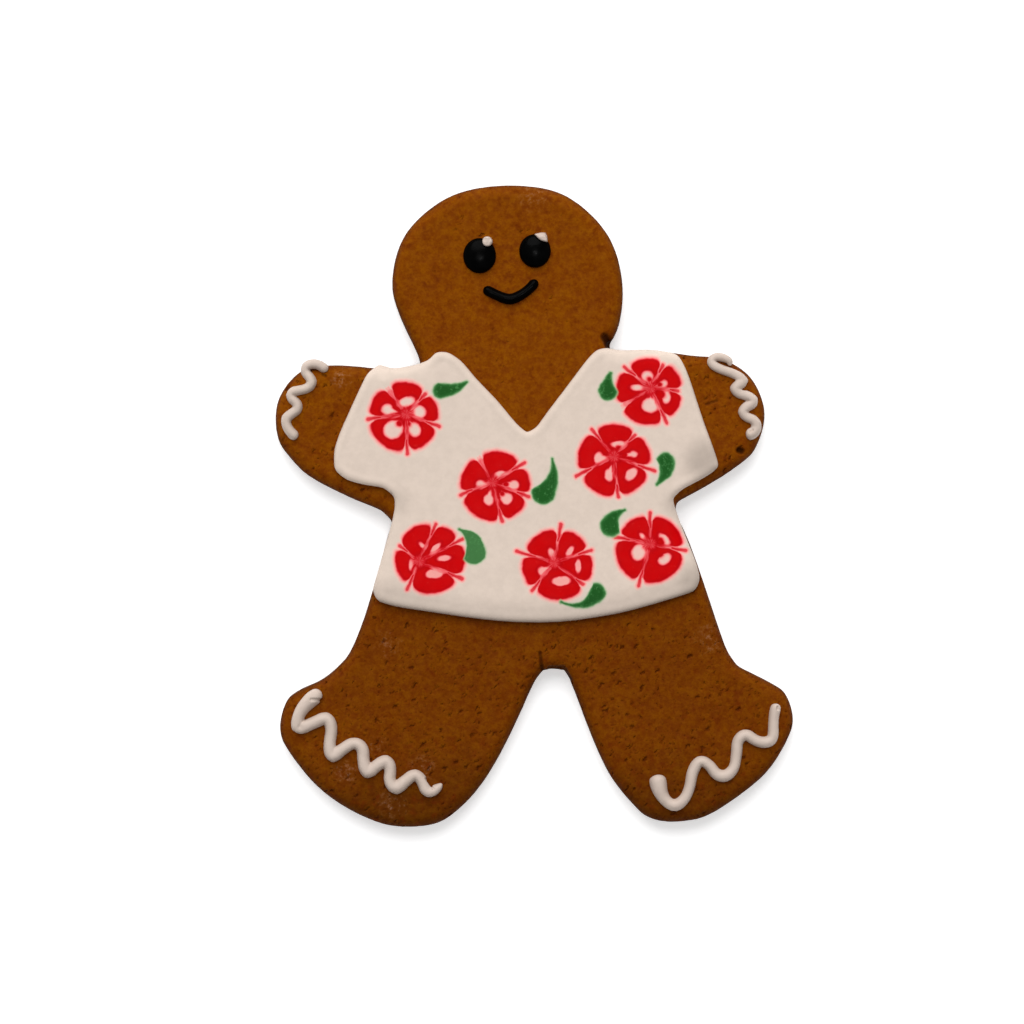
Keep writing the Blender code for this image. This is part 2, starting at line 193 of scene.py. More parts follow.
def copyOf(node, name):
    piece = bpy.data.objects.new(name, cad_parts[node].data.copy())
    bpy.context.scene.collection.objects.link(piece)
    piece.data.materials.clear()
    only(piece)
    bpy.ops.object.mode_set(mode="EDIT")
    bpy.ops.mesh.select_all(action="SELECT")
    bpy.ops.mesh.remove_doubles(threshold=0.002 * mm)
    bpy.ops.mesh.normals_make_consistent(inside=False)
    bpy.ops.mesh.tris_convert_to_quads(face_threshold=math.radians(40), shape_threshold=math.radians(60))
    bpy.ops.object.mode_set(mode="OBJECT")
    return piece


def selectFaces(piece, wanted):
    # edit mode with only the wanted faces selected
    only(piece)
    bpy.ops.object.mode_set(mode="EDIT")
    bpy.ops.mesh.select_mode(type="FACE")
    bpy.ops.mesh.select_all(action="DESELECT")
    shape = bmesh.from_edit_mesh(piece.data)
    for face in shape.faces:
        face.select = wanted(face)
    shape.select_flush(True)
    bmesh.update_edit_mesh(piece.data)


def rounded(piece, levels, through=False):
    # subdivides smoothly; through moves the corners out first, so that the new surface passes through them
    if through:
        trial = piece.copy()
        trial.data = piece.data.copy()
        bpy.context.scene.collection.objects.link(trial)
        applied(trial, "SUBSURF", levels=levels, render_levels=levels)
        for corner, reached in zip(piece.data.vertices, trial.data.vertices):
            corner.co += corner.co - reached.co
        bpy.data.objects.remove(trial)
    applied(piece, "SUBSURF", levels=levels, render_levels=levels)


def lowerUnderside(piece, depth, square=False):
    # sets the piece into what it lies on, straight down or square to the underside, so that no gap shows
    selectFaces(piece, lambda face: face.normal.z < -0.3)
    shape = bmesh.from_edit_mesh(piece.data)
    for corner in [corner for corner in shape.verts if corner.select]:
        faces = [face.normal for face in corner.link_faces if face.select]
        down = sum(faces, Vector()).normalized() if square else Vector((0, 0, -1))
        corner.co += down * depth
    bmesh.update_edit_mesh(piece.data)
    bpy.ops.object.mode_set(mode="OBJECT")


def reliefTree(name, heightOf):
    # Geometry Nodes that move the surface along its normal by heightOf(tree, place), in millimetres
    tree = bpy.data.node_groups.new(name, "GeometryNodeTree")
    tree.interface.new_socket("Geometry", in_out="INPUT", socket_type="NodeSocketGeometry")
    tree.interface.new_socket("Geometry", in_out="OUTPUT", socket_type="NodeSocketGeometry")
    source = addNode(tree, "NodeGroupInput").outputs[0]
    place = scaled(tree, addNode(tree, "GeometryNodeInputPosition").outputs[0], 1 / mm)
    normal = addNode(tree, "GeometryNodeInputNormal").outputs[0]
    offset = scaled(tree, normal, times(tree, heightOf(tree, place), mm))
    moved = addNode(tree, "GeometryNodeSetPosition", {"Geometry": source, "Offset": offset})
    feed(tree, addNode(tree, "NodeGroupOutput").inputs[0], moved.outputs[0])
    return tree


def thinned(piece, triangles):
    # no more than about this many triangles
    count = sum(len(face.vertices) - 2 for face in piece.data.polygons)
    applied(piece, "DECIMATE", ratio=min(1.0, triangles / count))


def addRelief(piece, heightOf):
    only(piece)
    modifier = piece.modifiers.new("Relief", "NODES")
    modifier.node_group = reliefTree(piece.name + "Relief", heightOf)
    bpy.ops.object.modifier_apply(modifier=modifier.name)


def finished(piece, material, node):
    piece.data.materials.append(material)
    only(piece)
    bpy.ops.object.shade_smooth()
    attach(piece, "root")
    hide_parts(node)
    print(piece.name, len(piece.data.polygons), "faces")


dough = {
    "voxel": 0.25 * mm,
    "triangles": 185000,
    "swell": 0.04 * mm,
    "waveSize": 14, "waveHeight": 0.20,
    "lumpSize": 3.0, "lumpHeight": 0.12,
    "grainSize": 1.3, "grainHeight": 0.07,
    "slitTurn": 48,  # the slits' direction, from +X towards +Y
    "slitWobble": 2.2,  # how far they stray from it
    "slitWaves": 0.9,
    "slitShare": 0.72,  # of the legs' cells that hold one
    "slitLeast": (0.03, 0.06),  # of the cells anywhere that hold a large one, and a small one
    "slitDrift": 10,  # over what length they come and go
    "armShare": 0.7,  # how full of slits the arms are, next to the legs
    "slitLength": 3.2, "slitWidth": 1.2, "slitDepth": 0.34,
    "hips": (-18, -36),  # the slits set in between these two places along y
    "elbows": (28, 40),  # and on the arms between these two along x
    # from head to soles the dough darkens, partly browning and partly painted shade
    "headColour": (121, 60, 0),
    "legColour": (107, 51, 0),
    "soleColour": (86, 41, 0),
    "rimBrownAndShadeColour": (72, 33, 0),
    "slitShadeColour": (64, 19, 0),
    "blotchColour": (98, 38, 0),
    "dentShadeAndBurnColour": (40, 13, 2),
    "flourColour": (178, 138, 116),
    "headToLegs": (30, -30),  # where along y the one colour turns into the other, darker towards the soles: partly browning, partly painted shade
    "legsToSoles": (-50, -76),
    "driftSize": 20, "driftReach": 24,  # how unevenly they do
    "rimLevels": (7.3, 4.6),  # the heights between which the rim darkens, partly browning and partly painted shade
    "underside": 0.4,  # how much of that darkening the underside has
    "blotchSize": 2.2, "blotchAmount": 0.6,
    # lighter and darker grains: size, darkest, lightest, detail, roughness
    "grains": [(9, 0.94, 1.06, 3.0, 0.6), (1.3, 0.84, 1.20, 3.0, 0.65), (0.45, 0.93, 1.07, 2.0, 0.6)],
    "poreSize": 0.9, "poreHeight": 0.13,
}

# flour left on the dough: middle x, y, reach, strength
flourPatches = [
    (-44.9, 29.8, 3.4, 0.7), (-44.0, -62.1, 4.0, 0.5), (-33.0, -69.6, 4.6, 0.5), (-26.0, -61.6, 4.4, 0.4),
    (-36.5, -56.0, 3.0, 0.35), (41.0, -31.5, 5.0, 0.35), (0.0, 72.4, 5.0, 0.35), (-34.2, -32.5, 4.5, 0.3),
]
# dents in the dough: from x, y, to x, y, reach, depth, darkness; the darkness is painted shade in the dent,
# at the neck fold partly real burn
dents = [
    (47.9, 12.9, 48.4, 12.6, 1.05, 1.4, 0.75),  # a hole by the hand
    (16.6, 39.2, 18.3, 36.4, 1.5, 0.9, 0.9),  # the fold at the neck, partly burnt, its darkness partly painted shade
    (1.4, -34.4, 1.9, -38.2, 0.6, 0.5, 0.55),  # creases where the legs meet
    (3.6, -37.9, 6.8, -37.7, 0.7, 0.4, 0.4), (7.2, -38.4, 8.3, -40.6, 0.8, 0.4, 0.35),
    (40.2, 23.6, 42.6, 24.4, 0.5, 0.25, 0.4), (-48.6, 30.2, -49.3, 30.6, 0.5, 0.3, 0.4),  # nicks on the arms
]


def after(tree, vector, earlier):
    # the same vector, worked out only once the earlier value is: a large shader needs less memory that way
    return vectorCalc(tree, "ADD", vector, scaled(tree, (1e-9, 0, 0), earlier))


def spot(tree, place, x, y, reach):
    # 1 in the middle of a round spot, 0 past its reach, whatever the height
    flat = vectorCalc(tree, "MULTIPLY", place, (1, 1, 0))
    away = vectorCalc(tree, "DISTANCE", flat, (x, y, 0))
    return ease(tree, away, reach, reach * 0.2)


def trench(tree, place, fromX, fromY, toX, toY, reach):
    # the same along a straight line
    start, line = Vector((fromX, fromY, 0)), Vector((toX - fromX, toY - fromY, 0))
    flat = vectorCalc(tree, "SUBTRACT", vectorCalc(tree, "MULTIPLY", place, (1, 1, 0)), start)
    along = vectorCalc(tree, "DOT_PRODUCT", flat, line)
    share = calc(tree, "DIVIDE", along, line.length_squared, clamp=True)
    away = vectorCalc(tree, "DISTANCE", flat, scaled(tree, tuple(line), share))
    return ease(tree, away, reach, reach * 0.2)


def dented(tree, height, place, marks):
    # the height less each mark's depth: from x, y, to x, y, reach, depth and whatever follows
    for *line, reach, depth in (mark[:6] for mark in marks):
        height = calc(tree, "SUBTRACT", height, times(tree, trench(tree, place, *line, reach), depth))
    return height


def slits(tree, place, long, wide, share):
    # small torn slits where the dough cracked in the oven
    moved = wobbled(tree, place, dough["slitWaves"], 3.0, (dough["slitWobble"],) * 3)
    turn = math.radians(dough["slitTurn"])
    east, north = math.cos(turn), math.sin(turn)
    turned = addNode(tree, "ShaderNodeCombineXYZ", {
        0: vectorCalc(tree, "DOT_PRODUCT", moved, (east / long, north / long, 0)),
        1: vectorCalc(tree, "DOT_PRODUCT", moved, (-north / wide, east / wide, 0)),
        2: vectorCalc(tree, "DOT_PRODUCT", moved, (0, 0, 1 / long)),
    }).outputs[0]
    cells = addNode(tree, "ShaderNodeTexVoronoi", {"Vector": turned, "Scale": 1.0, "Randomness": 1.0})
    chance = addNode(tree, "ShaderNodeSeparateXYZ", {0: cells.outputs["Color"]})
    there = ease(tree, calc(tree, "SUBTRACT", share, chance.outputs[0]), 0.0, 0.04)
    size = calc(tree, "MULTIPLY_ADD", chance.outputs[1], 0.22, 0.10)
    deep = ease(tree, calc(tree, "DIVIDE", cells.outputs["Distance"], size), 1.2, 0.3)
    return times(tree, there, deep)


def allSlits(tree, place):
    # few on the head, more on the arms and many on the legs, in two sizes
    axes = addNode(tree, "ShaderNodeSeparateXYZ", {0: place})
    legs = ease(tree, axes.outputs["Y"], *dough["hips"])
    arms = ease(tree, calc(tree, "ABSOLUTE", axes.outputs["X"]), *dough["elbows"], 0.0, dough["armShare"])
    drift = around(tree, place, dough["slitDrift"], 1.1, 1.0)
    share = calc(tree, "ADD", calc(tree, "MAXIMUM", legs, arms), drift)
    shares = [calc(tree, "MULTIPLY_ADD", share, dough["slitShare"], least) for least in dough["slitLeast"]]
    long, wide = dough["slitLength"], dough["slitWidth"]
    elsewhere = vectorCalc(tree, "ADD", place, (31, 17, 5))  # so that the small ones fall between the large
    large = slits(tree, place, long, wide, shares[0])
    small = slits(tree, elsewhere, long / 2, wide / 2, shares[1])
    return calc(tree, "MAXIMUM", large, times(tree, small, 0.65))


def doughHeight(tree, place):
    height = around(tree, place, dough["waveSize"], dough["waveHeight"], 1.0)
    for kind in ("lump", "grain"):
        height = calc(tree, "ADD", height, around(tree, place, dough[kind + "Size"], dough[kind + "Height"]))
    cracks = times(tree, allSlits(tree, place), dough["slitDepth"])
    height = dented(tree, calc(tree, "SUBTRACT", height, cracks), place, dents)
    level = addNode(tree, "ShaderNodeSeparateXYZ", {0: place}).outputs["Z"]
    return times(tree, height, ease(tree, level, 0.3, 2.0))  # the underside stays level


def doughMaterial():
    material, tree, shader, place = newMaterial("bakedDough")
    axes = addNode(tree, "ShaderNodeSeparateXYZ", {0: place})
    level = axes.outputs["Z"]
    cracks = allSlits(tree, place)
    # from head to soles, darker downwards as partly browning and partly painted shade, and from the top down
    # over the rim
    drift = calc(tree, "ADD", axes.outputs["Y"], around(tree, place, dough["driftSize"], dough["driftReach"]))
    head, leg, sole = (paint(*dough[part + "Colour"]) for part in ("head", "leg", "sole"))
    colour = blendColour(tree, ease(tree, drift, *dough["headToLegs"]), head, leg)
    colour = blendColour(tree, ease(tree, drift, *dough["legsToSoles"]), colour, sole)
    # the rim darker, partly browning and partly painted shade where it turns from the light
    uneven = calc(tree, "MULTIPLY_ADD", noise(tree, place, 5), 1.2, level)
    browningAndShade = ease(tree, uneven, *dough["rimLevels"])
    browningAndShade = times(tree, browningAndShade, ease(tree, level, 0.0, 1.5, dough["underside"], 1.0))
    colour = blendColour(tree, browningAndShade, colour, paint(*dough["rimBrownAndShadeColour"]))
    blotches = ease(tree, noise(tree, place, dough["blotchSize"], 2.0, 0.55), 0.52, 0.74, 0.0,
                    dough["blotchAmount"])
    colour = blendColour(tree, blotches, colour, paint(*dough["blotchColour"]))
    shade = times(tree, *(even(tree, place, *grain) for grain in dough["grains"]))
    # the lighter grains are yellower
    colour = addShade(tree, colour, calc(tree, "POWER", shade, 0.8), calc(tree, "POWER", shade, 1.5), shade)
    # painted shade darkens the slits
    colour = blendColour(tree, times(tree, cracks, 0.7), colour, paint(*dough["slitShadeColour"]))
    # flour, and the painted shade in the dents with some burn at the neck, which stay off the underside
    dust = ease(tree, noise(tree, place, 1.3, 5.0, 0.8), 0.50, 0.78)
    dust = times(tree, dust, ease(tree, level, 2.0, 5.0))
    for x, y, reach, strength in flourPatches:
        amount = times(tree, spot(tree, place, x, y, reach), dust, strength)
        colour = blendColour(tree, amount, colour, paint(*dough["flourColour"]))
    above = ease(tree, level, 0.3, 2.0)
    # painted shade darkens each dent, with some real burn at the neck fold
    for *line, reach, _, dark in dents:
        amount = times(tree, trench(tree, place, *line, reach), dark, above)
        colour = blendColour(tree, amount, colour, paint(*dough["dentShadeAndBurnColour"]))
    feed(tree, shader.inputs["Base Color"], colour)
    feed(tree, shader.inputs["Roughness"], even(tree, place, 2, 0.62, 0.8))
    shader.inputs["Specular IOR Level"].default_value = 0.03
    pores = times(tree, noise(tree, place, dough["poreSize"], 3.0, 0.6), dough["poreHeight"])
    addBump(tree, shader, calc(tree, "ADD", pores, times(tree, cracks, -0.12)))
    return material


def makeDough():
    piece = copyOf("cookie", "doughFigure")
    # the level top and underside come off, the rim between them is rounded, and both are closed again
    selectFaces(piece, lambda face: abs(face.normal.z) > 0.9999)
    bpy.ops.mesh.delete(type="FACE")
    bpy.ops.object.mode_set(mode="OBJECT")
    rounded(piece, 3, through=True)
    applied(piece, "SMOOTH", factor=0.5, iterations=8, use_z=False)
    bpy.ops.object.mode_set(mode="EDIT")
    bpy.ops.mesh.select_mode(type="EDGE")
    bpy.ops.mesh.select_all(action="DESELECT")
    bpy.ops.mesh.select_non_manifold(extend=False)
    bpy.ops.mesh.edge_face_add()
    bpy.ops.mesh.select_all(action="SELECT")
    bpy.ops.mesh.quads_convert_to_tris()
    bpy.ops.mesh.normals_make_consistent(inside=False)
    bpy.ops.object.mode_set(mode="OBJECT")
    applied(piece, "REMESH", mode="VOXEL", voxel_size=dough["voxel"])
    applied(piece, "SMOOTH", factor=0.5, iterations=10)
    applied(piece, "DISPLACE", strength=dough["swell"], mid_level=0)
    addRelief(piece, doughHeight)
    thinned(piece, dough["triangles"])
    finished(piece, doughMaterial(), "cookie")


shirt = {
    "voxel": 0.25 * mm,
    "triangles": 120000,
    "smoothing": 5,
    "sink": 0.65 * mm,
    "swell": 0.25 * mm,
    "waveSize": 9, "waveHeight": 0.14,
    "lumpSize": 2.4, "lumpHeight": 0.04,
    "wobbleWaves": 0.45, "wobbleReach": 0.7,  # how unevenly the flowers' and leaves' edges run
    "pull": 4.4,  # how far a needle stroke drags the icing in towards the flower's middle
    "strokeWidth": 0.52,
    "strokeStart": (-0.6, 1.8),  # the drag sets in between these two places along the stroke
    "smearWidth": 0.8,  # half the width of the streaky zone it leaves
    "smear": 0.85,
    "coreReach": 2.8,  # how far the streaks spread where the strokes meet
    "streaks": (0.7, -0.18),  # how strong they are, and how deep their red
    "rayFineness": 3.0,
    "tailStart": 2.6,  # how far inside the flower's edge a tail begins
    "tailWidths": (0.08, 0.22),  # half its width there and at its far end
    "tailFade": (-0.03, 0.06),  # how pale its middle is there and at its far end
    "tailHalo": 1.25,  # how fast its red fades outwards
    "deepest": -0.7,  # no red is deeper than this
    "whiteEdge": 1.15,  # how sharply a white drop stands out of the red
    "whiteGrow": 0.25,  # added to each drop's length and width
    "whiteTip": 0.5,  # how far towards the flower's middle a round drop is drawn out
    "longDrop": 1.6,  # drops longer than this many widths aren't
    "leafTip": 0.2,
    "leafDeepest": 0.8,
    "hemMiddle": (-2.1, 81.0, 0),  # the hem is an arc about this point, shaded between these two radii
    "hemShade": (101.5, 107.5), "hemDarkest": 0.78,
    "brightRed": (228, 52, 48), "brightGreen": (92, 158, 92),
}

# patches of painted shade on the icing, darker and greyer there: middle x, y, reach, strength
paintedIcingShades = [
    (39.6, 10.4, 7.0, 0.30), (37.5, -17.0, 6.0, 0.20), (-31.8, 1.0, 4.5, 0.12), (32.5, 0.5, 4.5, 0.12),
]

# red icing as it runs out into the white: millimetres past the red's edge, colour
redStops = [
    (-0.70, (196, 0, 4)), (-0.20, (182, 0, 8)), (0.0, (204, 20, 32)), (0.16, (232, 88, 94)),
    (0.42, (240, 156, 150)), (0.85, (230, 192, 180)), (1.25, (216, 199, 185)),
]
# green icing, the same way, measured inwards from the leaf's edge
greenStops = [(-0.3, (146, 180, 136)), (0.0, (80, 130, 78)), (0.25, (40, 98, 43)), (0.8, (29, 84, 31))]

# each flower, in millimetres and degrees: its disc's middle and radius, where its needle strokes meet, the
# strokes' directions with how far each tail sticks out, how pale its white drops are, those drops (middle,
# length, width, turn) and the dots of red left in its middle (middle, radius)
flowers = [
    {
        "middle": (-30.4, 20.6), "radius": 8.0, "meet": (-29.8, 21.2),
        "strokes": [(47, -0.5), (125, None), (187, 0.3), (272, 0.7), (340, 0.6)],
        "paleness": 1.0,
        "whites": [(-29.7, 24.2, 4.1, 2.2, 20), (-26.7, 21.8, 3.3, 3.0, 0), (-27.8, 17.7, 2.9, 3.5, 10),
                   (-32.8, 17.7, 4.7, 4.4, 30), (-34.2, 22.3, 2.8, 2.7, 0)],
        "dots": [(-29.3, 22.0, 0.9), (-31.4, 19.2, 0.6), (-29.4, 19.1, 0.6)],
    },
    {
        "middle": (-9.1, 4.5), "radius": 8.0, "meet": (-9.7, 5.4),
        "strokes": [(32, 0.7), (119, None), (202, 0.3), (284, 0.2), (338, 0.2)],
        "paleness": 0.62,
        "whites": [(-7.7, 7.3, 2.7, 1.6, 0), (-4.7, 4.8, 2.3, 2.3, 0), (-6.4, 1.6, 2.7, 2.6, 0),
                   (-10.6, 1.4, 2.3, 2.6, 0), (-12.5, 5.0, 2.0, 1.9, 0)],
        "dots": [(-6.6, 5.0, 0.6), (-8.3, 3.6, 0.7), (-7.4, 2.9, 0.5)],
    },
    {
        "middle": (26.8, 26.6), "radius": 7.6, "meet": (27.1, 27.3),
        "strokes": [(62, -0.8), (141, 0.4), (212, None), (295, 0.8), (355, -1.0)],
        "paleness": 0.85,
        "whites": [(26.4, 30.1, 2.6, 2.6, 0), (30.2, 28.3, 1.8, 1.8, 0), (30.8, 25.2, 1.8, 2.9, 0),
                   (27.1, 23.4, 4.0, 3.6, 0), (23.9, 27.4, 2.9, 1.5, 0)],
        "dots": [(26.9, 29.3, 0.5), (29.2, 28.1, 0.5), (29.4, 25.8, 0.9)],
    },
    {
        "middle": (18.6, 10.5), "radius": 8.3, "meet": (18.6, 11.5),
        "strokes": [(45, -0.8), (130, 0.5), (208, 1.2), (276, 0.2), (340, 1.4)],
        "paleness": 0.6,
        "whites": [(19.6, 14.3, 3.6, 1.6, 0), (23.1, 11.9, 1.8, 1.5, 0), (22.6, 7.3, 3.6, 2.2, 45),
                   (17.4, 7.1, 2.0, 3.0, 0), (15.0, 11.0, 2.1, 2.8, 0)],
        "dots": [(19.7, 13.1, 0.8), (20.9, 11.8, 0.8), (20.2, 9.6, 0.7), (21.3, 8.7, 0.6)],
    },
    {
        "middle": (-24.2, -12.3), "radius": 8.0, "meet": (-26.8, -13.0),
        "strokes": [(27, 0.9), (66, 0.1), (141, -0.4), (247, 0.9), (338, 0.8)],
        "paleness": 0.45,
        "whites": [(-26.0, -9.2, 1.9, 0.9, -40), (-22.9, -9.9, 3.1, 1.1, 45), (-20.9, -12.3, 3.2, 1.3, 4),
                   (-23.2, -15.8, 4.2, 2.3, 5), (-28.7, -13.8, 0.8, 2.4, 0)],
        "dots": [(-27.2, -11.4, 0.9), (-25.0, -14.4, 0.6)],
    },
    {
        "middle": (5.4, -13.7), "radius": 8.1, "meet": (4.7, -13.2),
        "strokes": [(18, 0.4), (80, 1.4), (164, 1.8), (232, 0.4), (323, -0.6)],
        "paleness": 0.48,
        "whites": [(4.0, -11.0, 1.2, 2.2, 25), (8.3, -10.6, 1.3, 2.5, -35), (10.2, -14.1, 1.3, 3.2, 0),
                   (6.3, -17.5, 4.4, 2.1, 0), (1.9, -15.4, 1.9, 2.2, 40)],
        "dots": [(7.7, -14.0, 1.4), (6.2, -15.2, 1.1)],
    },
    {
        "middle": (26.9, -10.2), "radius": 7.8, "meet": (27.1, -8.9),
        "strokes": [(91, 0.7), (169, 0.7), (254, 1.0), (349, 0.6)],
        "paleness": 0.8,
        "whites": [(25.2, -7.1, 1.6, 1.0, -40), (30.4, -7.8, 3.4, 1.7, -42), (30.4, -12.5, 3.4, 2.1, 35),
                   (24.3, -10.9, 3.4, 3.9, -15)],
        "dots": [(29.1, -8.6, 1.1), (29.3, -11.3, 0.7), (25.8, -9.5, 0.3)],
    },
]

# each leaf: the middle of its round end, that end's radius, its tip, how far it bends to its left on the
# way there, how quickly it narrows and, for the pale one, the deepest green that it reaches
leaves = [
    {"end": (-21.7, 26.8), "radius": 1.7, "tip": (-15.7, 28.7), "bend": -0.55, "taper": 0.85},
    {"end": (2.15, 3.05), "radius": 2.65, "tip": (4.2, 10.9), "bend": -1.2, "taper": 1.6},
    {"end": (17.2, 26.7), "radius": 2.05, "tip": (17.8, 30.9), "bend": 0.35, "taper": 1.2},
    {"end": (30.6, 10.1), "radius": 2.05, "tip": (28.6, 5.0), "bend": 0.9, "taper": 1.0},
    {"end": (-14.0, -10.9), "radius": 2.6, "tip": (-17.3, -5.6), "bend": -1.3, "taper": 1.1,
     "deepest": 0.12},
    {"end": (17.9, -4.7), "radius": 2.4, "tip": (21.0, -1.0), "bend": 0.8, "taper": 1.3},
    {"end": (14.3, -20.3), "radius": 2.15, "tip": (6.4, -22.4), "bend": 1.9, "taper": 2.5},
]


def newGroup(name, inputs, outputs):
    group = bpy.data.node_groups.new(name, "ShaderNodeTree")
    for way, sockets in (("INPUT", inputs), ("OUTPUT", outputs)):
        for label, kind in sockets.items():
            group.interface.new_socket(label, in_out=way, socket_type="NodeSocket" + kind)
    return group, addNode(group, "NodeGroupInput").outputs, addNode(group, "NodeGroupOutput").inputs


def useGroup(tree, group, **inputs):
    node = addNode(tree, "ShaderNodeGroup", node_tree=group)
    for name, value in inputs.items():
        feed(tree, node.inputs[name], value)
    return node.outputs


def needleStroke():
    # drags the icing in along one line
    group, given, made = newGroup("needleStroke", {
        "place": "Vector", "line": "Vector", "trace": "Float"}, {"place": "Vector", "trace": "Float"})
    along = vectorCalc(group, "DOT_PRODUCT", given["place"], given["line"])
    across = vectorCalc(group, "LENGTH", vectorCalc(group, "CROSS_PRODUCT", given["place"], given["line"]))
    ahead = ease(group, along, *shirt["strokeStart"])
    drag = times(group, ahead, calc(group, "EXPONENT", times(group, across, -1 / shirt["strokeWidth"])))
    shift = scaled(group, given["line"], times(group, drag, shirt["pull"]))
    smear = times(group, ahead, ease(group, across, shirt["smearWidth"], shirt["smearWidth"] * 0.35))
    feed(group, made["place"], vectorCalc(group, "ADD", given["place"], shift))
    feed(group, made["trace"], calc(group, "MAXIMUM", given["trace"], smear))
    return group


def strokeTail():
    # millimetres from a thread of red left along a line, thicker and paler towards its far end
    group, given, made = newGroup("strokeTail", {
        "place": "Vector", "line": "Vector", "start": "Float", "long": "Float"}, {"away": "Float"})
    smaller, thick = shirt["tailWidths"]
    deep, pale = shirt["tailFade"]
    reached = vectorCalc(group, "DOT_PRODUCT", given["place"], given["line"])
    along = calc(group, "SUBTRACT", reached, given["start"])
    share = calc(group, "DIVIDE", along, given["long"], clamp=True)
    nearest = scaled(group, given["line"], calc(group, "MULTIPLY_ADD", share, given["long"], given["start"]))
    away = vectorCalc(group, "DISTANCE", given["place"], nearest)
    away = calc(group, "SUBTRACT", away, calc(group, "MULTIPLY_ADD", share, thick - smaller, smaller))
    faded = calc(group, "MULTIPLY_ADD", share, pale - deep, deep)
    feed(group, made["away"], calc(group, "MAXIMUM", away, faded))
    return group


def dropShape():
    # millimetres inside a drop with one pointed, bent end
    group, given, made = newGroup("dropShape", {
        "place": "Vector", "line": "Vector", "long": "Float", "radius": "Float", "bend": "Float",
        "taper": "Float"}, {"inside": "Float"})
    along = vectorCalc(group, "DOT_PRODUCT", given["place"], given["line"])
    across = addNode(group, "ShaderNodeSeparateXYZ", {
        0: vectorCalc(group, "CROSS_PRODUCT", given["line"], given["place"])}).outputs["Z"]
    share = calc(group, "DIVIDE", along, given["long"], clamp=True)
    left = calc(group, "SUBTRACT", 1.0, share)
    bow = times(group, times(group, share, left), times(group, given["bend"], 4.0))
    tip = shirt["leafTip"]
    taper = calc(group, "POWER", left, given["taper"])
    wide = calc(group, "MULTIPLY_ADD", calc(group, "SUBTRACT", given["radius"], tip), taper, tip)
    past = calc(group, "MAXIMUM", calc(group, "SUBTRACT", along, given["long"]), 0.0)
    outside = calc(group, "ADD", calc(group, "MINIMUM", along, 0.0), past)
    away = addNode(group, "ShaderNodeCombineXYZ", {0: outside, 1: calc(group, "SUBTRACT", across, bow)})
    feed(group, made["inside"], calc(group, "SUBTRACT", wide, vectorCalc(group, "LENGTH", away.outputs[0])))
    return group


def whiteDrop(tree, place, x, y, long, wide, turn, drop):
    # millimetres inside an oval drop, drawn out towards the flower's middle unless it is a long one
    grow = shirt["whiteGrow"]
    oval = addNode(tree, "ShaderNodeMapping", {
        "Vector": place, "Location": (x, y, 0), "Rotation": (0, 0, math.radians(turn)),
        "Scale": ((long + grow) / 2, (wide + grow) / 2, 1)}, vector_type="TEXTURE").outputs[0]
    mean = (long + wide) / 4
    inside = calc(tree, "MULTIPLY_ADD", vectorCalc(tree, "LENGTH", oval), -mean, mean)
    if max(long, wide) < shirt["longDrop"] * min(long, wide):
        outwards = Vector((x, y, 0))
        drawn = useGroup(tree, drop, place=vectorCalc(tree, "SUBTRACT", place, outwards), bend=0.0,
                         taper=0.8, line=-outwards.normalized(), long=outwards.length * shirt["whiteTip"],
                         radius=min(long, wide) / 2)
        inside = calc(tree, "MAXIMUM", inside, drawn["inside"])
    return times(tree, inside, shirt["whiteEdge"])


def flowerEdge(tree, place, flower, stroke, thread, drop):
    # millimetres past the nearest edge of the red, from a disc of rings drawn through with a needle
    meet = Vector((*flower["meet"], 0))
    middle = Vector((*flower["middle"], 0)) - meet
    start = vectorCalc(tree, "SUBTRACT", place, meet)
    dragged, trace, threads = start, 0.0, 99.0
    for turn, tail in flower["strokes"]:
        line = Vector((math.cos(math.radians(turn)), math.sin(math.radians(turn)), 0))
        drawn = useGroup(tree, stroke, place=dragged, line=line, trace=trace)
        dragged, trace = drawn["place"], drawn["trace"]
        if tail is not None:
            along = middle.dot(line)
            rim = along + math.sqrt(along ** 2 - middle.length_squared + flower["radius"] ** 2)
            left = useGroup(tree, thread, place=start, line=line, start=rim - shirt["tailStart"],
                            long=shirt["tailStart"] + tail)
            threads = calc(tree, "MINIMUM", threads, left["away"])
    disc = calc(tree, "SUBTRACT", vectorCalc(tree, "DISTANCE", start, middle), flower["radius"])
    edge = calc(tree, "SUBTRACT", vectorCalc(tree, "DISTANCE", dragged, middle), flower["radius"])
    edge = calc(tree, "MINIMUM", edge, ease(tree, disc, -1.3, 0.4, 0.2, 5.0))
    for x, y, long, wide, turn in flower["whites"]:
        here = after(tree, start, edge)
        white = whiteDrop(tree, here, x - meet.x, y - meet.y, long, wide, turn, drop)
        edge = calc(tree, "MAXIMUM", edge, calc(tree, "MINIMUM", white, flower["paleness"]))
    for x, y, radius in flower["dots"]:
        away = vectorCalc(tree, "DISTANCE", start, (x - meet.x, y - meet.y, 0))
        edge = calc(tree, "MINIMUM", edge, calc(tree, "SUBTRACT", away, radius))
    # along the strokes and where they meet, red and white are smeared into rays
    rays = scaled(tree, vectorCalc(tree, "NORMALIZE", start), shirt["rayFineness"])
    rays = vectorCalc(tree, "ADD", rays, scaled(tree, start, 0.2))
    streaks = calc(tree, "MULTIPLY_ADD", noise(tree, rays, 0.7), *shirt["streaks"])
    core = ease(tree, vectorCalc(tree, "LENGTH", start), shirt["coreReach"], shirt["coreReach"] * 0.3)
    smear = times(tree, calc(tree, "MAXIMUM", trace, core), ease(tree, disc, 0.9, -0.2), shirt["smear"])
    edge = times(tree, calc(tree, "MAXIMUM", edge, shirt["deepest"]), calc(tree, "SUBTRACT", 1.0, smear))
    edge = calc(tree, "ADD", edge, times(tree, streaks, smear))
    return calc(tree, "MINIMUM", edge, times(tree, threads, shirt["tailHalo"]))


